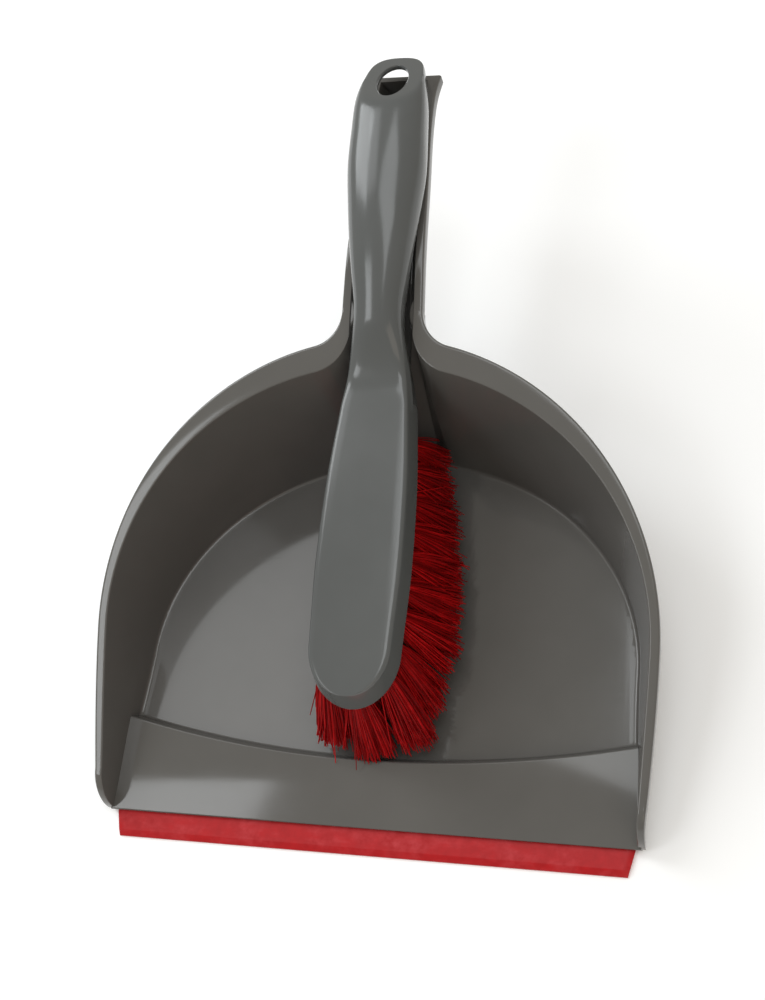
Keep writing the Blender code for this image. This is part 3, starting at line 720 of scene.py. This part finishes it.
def tuft_frame(tuft, staple):
    """The bottom of a tuft's hole and the directions out along it, across it and along its row."""
    points = node_points(tuft)
    seat = node_points(staple).mean(axis=0)
    out = points.mean(axis=0) - seat
    for _ in range(3):
        reach = (points - seat) @ (out / np.linalg.norm(out))
        out = points[reach > reach.max() - TUFT_END].mean(axis=0) - seat
    out = out / np.linalg.norm(out)
    reach = (points - seat) @ out
    along = np.array((0.0, 1.0, 0.0))
    along = along - out * (along @ out)
    along /= np.linalg.norm(along)
    return seat + out * reach.min(), out, np.cross(along, out), along


def pan_surface(x, y):
    """Height of the pan's floor or ramp, for x and y in millimetres from the lip."""
    crest = crest_line(x)
    ramp = RAMP_FRONT_TOP + (CREST_HEIGHT - RAMP_FRONT_TOP) * (y - RAMP_FRONT) / (crest - RAMP_FRONT)
    return np.where(y < crest + CREST_STEP, ramp, FLOOR)


def bristle_paths(origin, out, across, along, tip_spread, side_reach, rng):
    """The centre lines of one tuft's bristles, as an array of bristle, ring and coordinate."""
    count = BRISTLES_PER_TUFT
    radius = np.sqrt(rng.random(count)) * (TUFT_ROOT / 2 - BRISTLE_RADIUS)
    turn = rng.random(count) * 2 * math.pi
    root = np.stack((np.cos(turn), np.sin(turn)), axis=1) * radius[:, None]
    tip = root * np.array(tip_spread) / TUFT_ROOT
    clump_tips = tip[rng.choice(count, CLUMPS, replace=False)]
    nearest = np.argmin(((tip[:, None] - clump_tips[None]) ** 2).sum(axis=2), axis=1)
    pull = CLUMP_PULL[0] + (CLUMP_PULL[1] - CLUMP_PULL[0]) * rng.random((count, 1))
    tip += (clump_tips[nearest] - tip) * pull
    tip += rng.normal(0, TIP_JITTER, (count, 2))
    stray = rng.random(count) < STRAY_SHARE
    strays = int(stray.sum())
    tip[stray] += rng.normal(0, STRAY_JITTER, (strays, 2))
    free = TUFT_FREE * (LONGEST - SHORTENING * rng.random(count) ** 1.5)
    free[stray] *= STRAY_LENGTH[0] + (STRAY_LENGTH[1] - STRAY_LENGTH[0]) * rng.random(strays)
    bow = rng.normal(0, BOW, (count, 2))

    ring = np.linspace(0, 1, BRISTLE_RINGS - 1)
    height = np.concatenate((np.zeros((count, 1)), TUFT_DEPTH + ring[None] * free[:, None]), axis=1)
    share = np.concatenate(((0.0,), ring))
    right, left = side_reach
    tip[:, 0] = np.clip(tip[:, 0], -right, left) + SWEEP * across[0]
    sideways = (root[:, None] + (tip - root)[:, None] * (share ** SPREAD_POWER)[None, :, None]
                + bow[:, None] * np.sin(math.pi * share)[None, :, None])
    path = (origin + height[..., None] * out + sideways[..., :1] * across + sideways[..., 1:] * along)
    ground = pan_surface(path[..., 0], path[..., 1] - LIP_FRONT) + 0.5
    path[..., 2] = np.maximum(path[..., 2], ground)
    return path


def bristle_mesh(name, paths, rng):
    """Tapered tubes round the centre lines, with a shade of its own for each bristle."""
    count, rings, _ = paths.shape
    tangent = np.gradient(paths, axis=1)
    tangent /= np.linalg.norm(tangent, axis=2, keepdims=True)
    side = np.cross(tangent, np.array((0.31, 0.95, 0.05)))
    side /= np.linalg.norm(side, axis=2, keepdims=True)
    other = np.cross(tangent, side)
    thickness = BRISTLE_RADIUS + (BRISTLE_TIP_RADIUS - BRISTLE_RADIUS) * np.linspace(0, 1, rings) ** 3
    angle = np.arange(BRISTLE_SIDES) * 2 * math.pi / BRISTLE_SIDES
    offset = (side[:, :, None] * np.cos(angle)[:, None] + other[:, :, None] * np.sin(angle)[:, None])
    points = paths[:, :, None] + offset * thickness[None, :, None, None]

    start = np.arange(count)[:, None, None] * rings * BRISTLE_SIDES
    near = start + np.arange(rings - 1)[None, :, None] * BRISTLE_SIDES
    k = np.arange(BRISTLE_SIDES)
    m = (k + 1) % BRISTLE_SIDES
    walls = np.stack((near + k, near + m, near + BRISTLE_SIDES + m, near + BRISTLE_SIDES + k), axis=-1)
    first = start[:, 0] + k[::-1]
    last = start[:, 0] + (rings - 1) * BRISTLE_SIDES + k
    mesh = bpy.data.meshes.new(name)
    mesh.from_pydata((points * MM).reshape(-1, 3).tolist(), [],
                     walls.reshape(-1, 4).tolist() + first.tolist() + last.tolist())
    mesh.shade_smooth()
    mesh.set_sharp_from_angle(angle=math.radians(80))
    shade = mesh.attributes.new("shade", "FLOAT", "POINT")
    shade.data.foreach_set("value", np.repeat(rng.random(count), rings * BRISTLE_SIDES))
    return mesh


def make_bristles(material, places):
    rows = [name.rsplit("_", 1)[0] for name in places]
    for index, (name, (origin, out, across, along)) in enumerate(places.items()):
        rng = np.random.default_rng(100 + index)
        place_in_row = int(name.rsplit("_", 1)[1])
        row_length = rows.count(rows[index])
        tip_spread = {1: FIRST_TIP, row_length: LAST_TIP}.get(place_in_row, TUFT_TIP)
        rear_taper = 1 - REAR_TAPER * (place_in_row / row_length) ** 2
        tip_spread = (tip_spread[0] * rear_taper, tip_spread[1])
        side_reach = FIRST_REACH if place_in_row == 1 else SIDE_REACH
        paths = bristle_paths(origin, out, across, along, tip_spread, side_reach, rng)
        mesh = bristle_mesh(name + "_bristles", paths, rng)
        piece = bpy.data.objects.new(name.replace("tuft", "bristles"), mesh)
        bpy.context.collection.objects.link(piece)
        piece.data.materials.append(material)
        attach(piece, "brush")
        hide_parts(name)


def tuft_holes(places):
    """A drilled hole for every tuft, in one cutter."""
    sides = 24
    bm = bmesh.new()
    for origin, out, across, along in places.values():
        rings = []
        for height in (0.0, TUFT_DEPTH + TUFT_HOLE_SPARE):
            rings.append([Vector((origin + out * height + TUFT_HOLE / 2
                                  * (across * math.cos(a) + along * math.sin(a))) * MM)
                          for a in steps_between(0, 2 * math.pi, sides)])
        hole = loft(rings)
        mesh = bpy.data.meshes.new("hole")
        hole.to_mesh(mesh)
        hole.free()
        bm.from_mesh(mesh)
        bpy.data.meshes.remove(mesh)
    return bm


def make_brush(material, places):
    brush = add_object("brush_moulding", brush_solid())
    combine(brush, add_object("handle_pocket", handle_pocket()), "DIFFERENCE")
    combine(brush, add_object("hanging_hole", hanging_hole()), "DIFFERENCE")
    combine(brush, add_object("tuft_holes", tuft_holes(places)), "DIFFERENCE")
    finish_shape(brush, "brush", material, ["brush_body"])


# Materials

class Nodes:
    """A material's node tree, with short calls for the nodes used here."""

    def __init__(self, name):
        self.material = bpy.data.materials.new(name)
        self.material.use_nodes = True
        self.tree = self.material.node_tree
        self.shader = self.tree.nodes["Principled BSDF"]
        self.where = self.add("ShaderNodeTexCoord").outputs["Object"]

    def add(self, kind, **settings):
        node = self.tree.nodes.new(kind)
        for key, value in settings.items():
            setattr(node, key, value)
        return node

    def link(self, output, target):
        self.tree.links.new(output, target)

    def stretched(self, scale):
        node = self.add("ShaderNodeMapping")
        node.inputs["Scale"].default_value = scale
        self.link(self.where, node.inputs["Vector"])
        return node.outputs["Vector"]

    def noise(self, scale, detail=3.0, roughness=0.5, vector=None):
        node = self.add("ShaderNodeTexNoise")
        node.inputs["Scale"].default_value = scale
        node.inputs["Detail"].default_value = detail
        node.inputs["Roughness"].default_value = roughness
        self.link(vector or self.where, node.inputs["Vector"])
        return node.outputs["Fac"]

    def spread(self, value, low, high, to_low=0.0, to_high=1.0):
        node = self.add("ShaderNodeMapRange")
        for key, number in (("From Min", low), ("From Max", high), ("To Min", to_low), ("To Max", to_high)):
            node.inputs[key].default_value = number
        self.link(value, node.inputs["Value"])
        return node.outputs["Result"]

    def mix(self, factor, first, second, blend="MIX"):
        node = self.add("ShaderNodeMix", data_type="RGBA", blend_type=blend)
        for value, socket in ((factor, node.inputs[0]), (first, node.inputs[6]), (second, node.inputs[7])):
            if isinstance(value, (int, float, tuple)):
                socket.default_value = value
            else:
                self.link(value, socket)
        return node.outputs[2]

    def bump(self, height, strength, distance, below=None):
        node = self.add("ShaderNodeBump")
        node.inputs["Strength"].default_value = strength
        node.inputs["Distance"].default_value = distance * MM
        self.link(height, node.inputs["Height"])
        if below:
            self.link(below, node.inputs["Normal"])
        return node.outputs["Normal"]

    def set(self, **values):
        for key, value in values.items():
            self.shader.inputs[key.replace("_", " ")].default_value = value


def shade_of(colour, factor):
    return tuple(c * factor for c in colour[:3]) + (1.0,)


def moulded_plastic(name, colour, roughness, peel):
    """Injection-moulded plastic: faint flow marks in the colour, orange peel and hairline scratches."""
    look = Nodes(name)
    flow = look.spread(look.noise(14.0, 4.0, 0.6), 0.35, 0.65)
    tone = look.mix(flow, shade_of(colour, 0.94), shade_of(colour, 1.05))
    look.link(tone, look.shader.inputs["Base Color"])
    smudge = look.spread(look.noise(38.0, 5.0, 0.65), 0.3, 0.7, roughness * 0.85, roughness * 1.2)
    look.link(smudge, look.shader.inputs["Roughness"])
    scratch = look.noise(60.0, 6.0, 0.7, look.stretched((1.0, 18.0, 18.0)))
    normal = look.bump(look.noise(420.0, 2.0), peel, 0.05)
    normal = look.bump(look.spread(scratch, 0.6, 0.7), 0.12, 0.02, normal)
    look.link(normal, look.shader.inputs["Normal"])
    look.set(IOR=1.49)
    return look.material


def lip_rubber(name, colour, bloom_colour):
    """Soft red rubber with a chalky bloom in patches."""
    look = Nodes(name)
    bloom = look.spread(look.noise(55.0, 5.0, 0.6, look.stretched((1.0, 2.2, 1.0))), 0.45, 0.75)
    tone = look.mix(bloom, colour, bloom_colour)
    mottle = look.spread(look.noise(300.0, 3.0), 0.3, 0.7)
    tone = look.mix(mottle, tone, shade_of(colour, 0.85))
    look.link(tone, look.shader.inputs["Base Color"])
    look.link(look.spread(bloom, 0.0, 1.0, 0.38, 0.6), look.shader.inputs["Roughness"])
    look.link(look.bump(look.noise(700.0, 3.0), 0.25, 0.06), look.shader.inputs["Normal"])
    look.set(IOR=1.5, Specular_IOR_Level=0.22)
    return look.material


def bristle_plastic(name, dark, light):
    """Red bristle: each strand has its own shade, with fine bands along it."""
    look = Nodes(name)
    strand = look.add("ShaderNodeAttribute", attribute_name="shade").outputs["Fac"]
    tone = look.mix(look.spread(strand, 0.0, 1.0), dark, light)
    tone = look.mix(look.spread(look.noise(240.0, 3.0), 0.35, 0.65, 0.0, 0.35), tone, shade_of(dark, 0.7))
    look.link(tone, look.shader.inputs["Base Color"])
    look.link(look.spread(strand, 0.0, 1.0, 0.35, 0.5), look.shader.inputs["Roughness"])
    look.set(IOR=1.5, Specular_IOR_Level=0.12)
    return look.material


def staple_steel(name, dark, light):
    """Flattened wire with drawing marks."""
    look = Nodes(name)
    marks = look.noise(900.0, 3.0, 0.6, look.stretched((1.0, 6.0, 6.0)))
    look.link(look.mix(marks, dark, light), look.shader.inputs["Base Color"])
    look.link(look.spread(marks, 0.3, 0.7, 0.25, 0.45), look.shader.inputs["Roughness"])
    look.set(Metallic=1.0)
    return look.material


def floor_paint(name, shade, white):
    """Dull white paint, with a faint glow that keeps it white where little light falls."""
    look = Nodes(name)
    look.link(look.mix(look.noise(3.0, 2.0), shade, white), look.shader.inputs["Base Color"])
    look.set(Roughness=0.9, Specular_IOR_Level=0.1)
    look.set(Emission_Color=WHITE, Emission_Strength=STUDIO_FLOOR_GLOW)
    return look.material


# Stage, light and camera

def make_floor():
    bm = bmesh.new()
    bmesh.ops.create_circle(bm, cap_ends=True, segments=64, radius=STUDIO_FLOOR_RADIUS)
    floor = add_object("studio_floor", bm)
    floor.data.materials.append(floor_paint("floor_paint", FLOOR_SHADE, FLOOR_WHITE))


def soft_box(name, direction, size, radiance, spin, colour):
    """A square-edged light that shines at the pan from far off, its size given as two angles."""
    light = bpy.data.lights.new(name, "AREA")
    light.shape = "RECTANGLE"
    light.color = colour
    light.size, light.size_y = (2 * LIGHT_DISTANCE * MM * math.tan(math.radians(angle / 2))
                                for angle in size)
    light.energy = radiance * math.pi * light.size * light.size_y
    lamp = bpy.data.objects.new(name, light)
    lamp.location = place(*LIGHT_AIM) + Vector(direction).normalized() * LIGHT_DISTANCE * MM
    turn = Matrix.Rotation(math.radians(spin), 3, "Z")
    lamp.rotation_euler = (Vector(direction).to_track_quat("Z", "Y").to_matrix() @ turn).to_euler()
    bpy.context.collection.objects.link(lamp)


def make_light():
    world = bpy.data.worlds.new("studio")
    bpy.context.scene.world = world
    world.use_nodes = True
    background = world.node_tree.nodes["Background"]
    background.inputs["Color"].default_value = ROOM_LIGHT
    background.inputs["Strength"].default_value = ROOM_STRENGTH
    for box in SOFT_BOXES:
        soft_box(*box)


def make_camera():
    azimuth, tilt, roll = (math.radians(a) for a in (CAMERA_AZIMUTH, CAMERA_TILT, CAMERA_ROLL))
    forward = math.cos(azimuth)
    back = Vector((math.sin(azimuth), -forward * math.sin(tilt), forward * math.cos(tilt)))
    up = (Vector((0, 1, 0)) - back * back.y).normalized()
    right = up.cross(back)
    turned_right = right * math.cos(roll) + up * math.sin(roll)
    turned_up = up * math.cos(roll) - right * math.sin(roll)
    data = bpy.data.cameras.new("camera")
    data.lens = CAMERA_LENS
    data.clip_start = 0.01
    camera = bpy.data.objects.new("camera", data)
    axes = Matrix((turned_right, turned_up, back)).transposed().to_4x4()
    camera.matrix_world = Matrix.Translation(place(*CAMERA_TARGET) + back * CAMERA_DISTANCE * MM) @ axes
    bpy.context.collection.objects.link(camera)
    bpy.context.scene.camera = camera


def main():
    names = [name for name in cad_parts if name.startswith("tuft_")]
    places = {name: tuft_frame(name, name.replace("tuft", "staple")) for name in names}
    make_pan(moulded_plastic("pan_plastic_look", PAN_GREY, PAN_ROUGHNESS, PAN_PEEL))
    make_lip(lip_rubber("lip_rubber_look", LIP_RED, LIP_BLOOM))
    make_brush(moulded_plastic("brush_plastic_look", BRUSH_GREY, BRUSH_ROUGHNESS, BRUSH_PEEL), places)
    make_bristles(bristle_plastic("bristle_look", BRISTLE_DARK, BRISTLE_LIGHT), places)
    steel = staple_steel("staple_steel_look", STEEL_DARK, STEEL_LIGHT)
    for name in names:
        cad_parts[name.replace("tuft", "staple")].material_slots[0].material = steel
    make_floor()
    make_light()
    make_camera()
    bpy.context.scene.view_settings.view_transform = "Standard"


main()
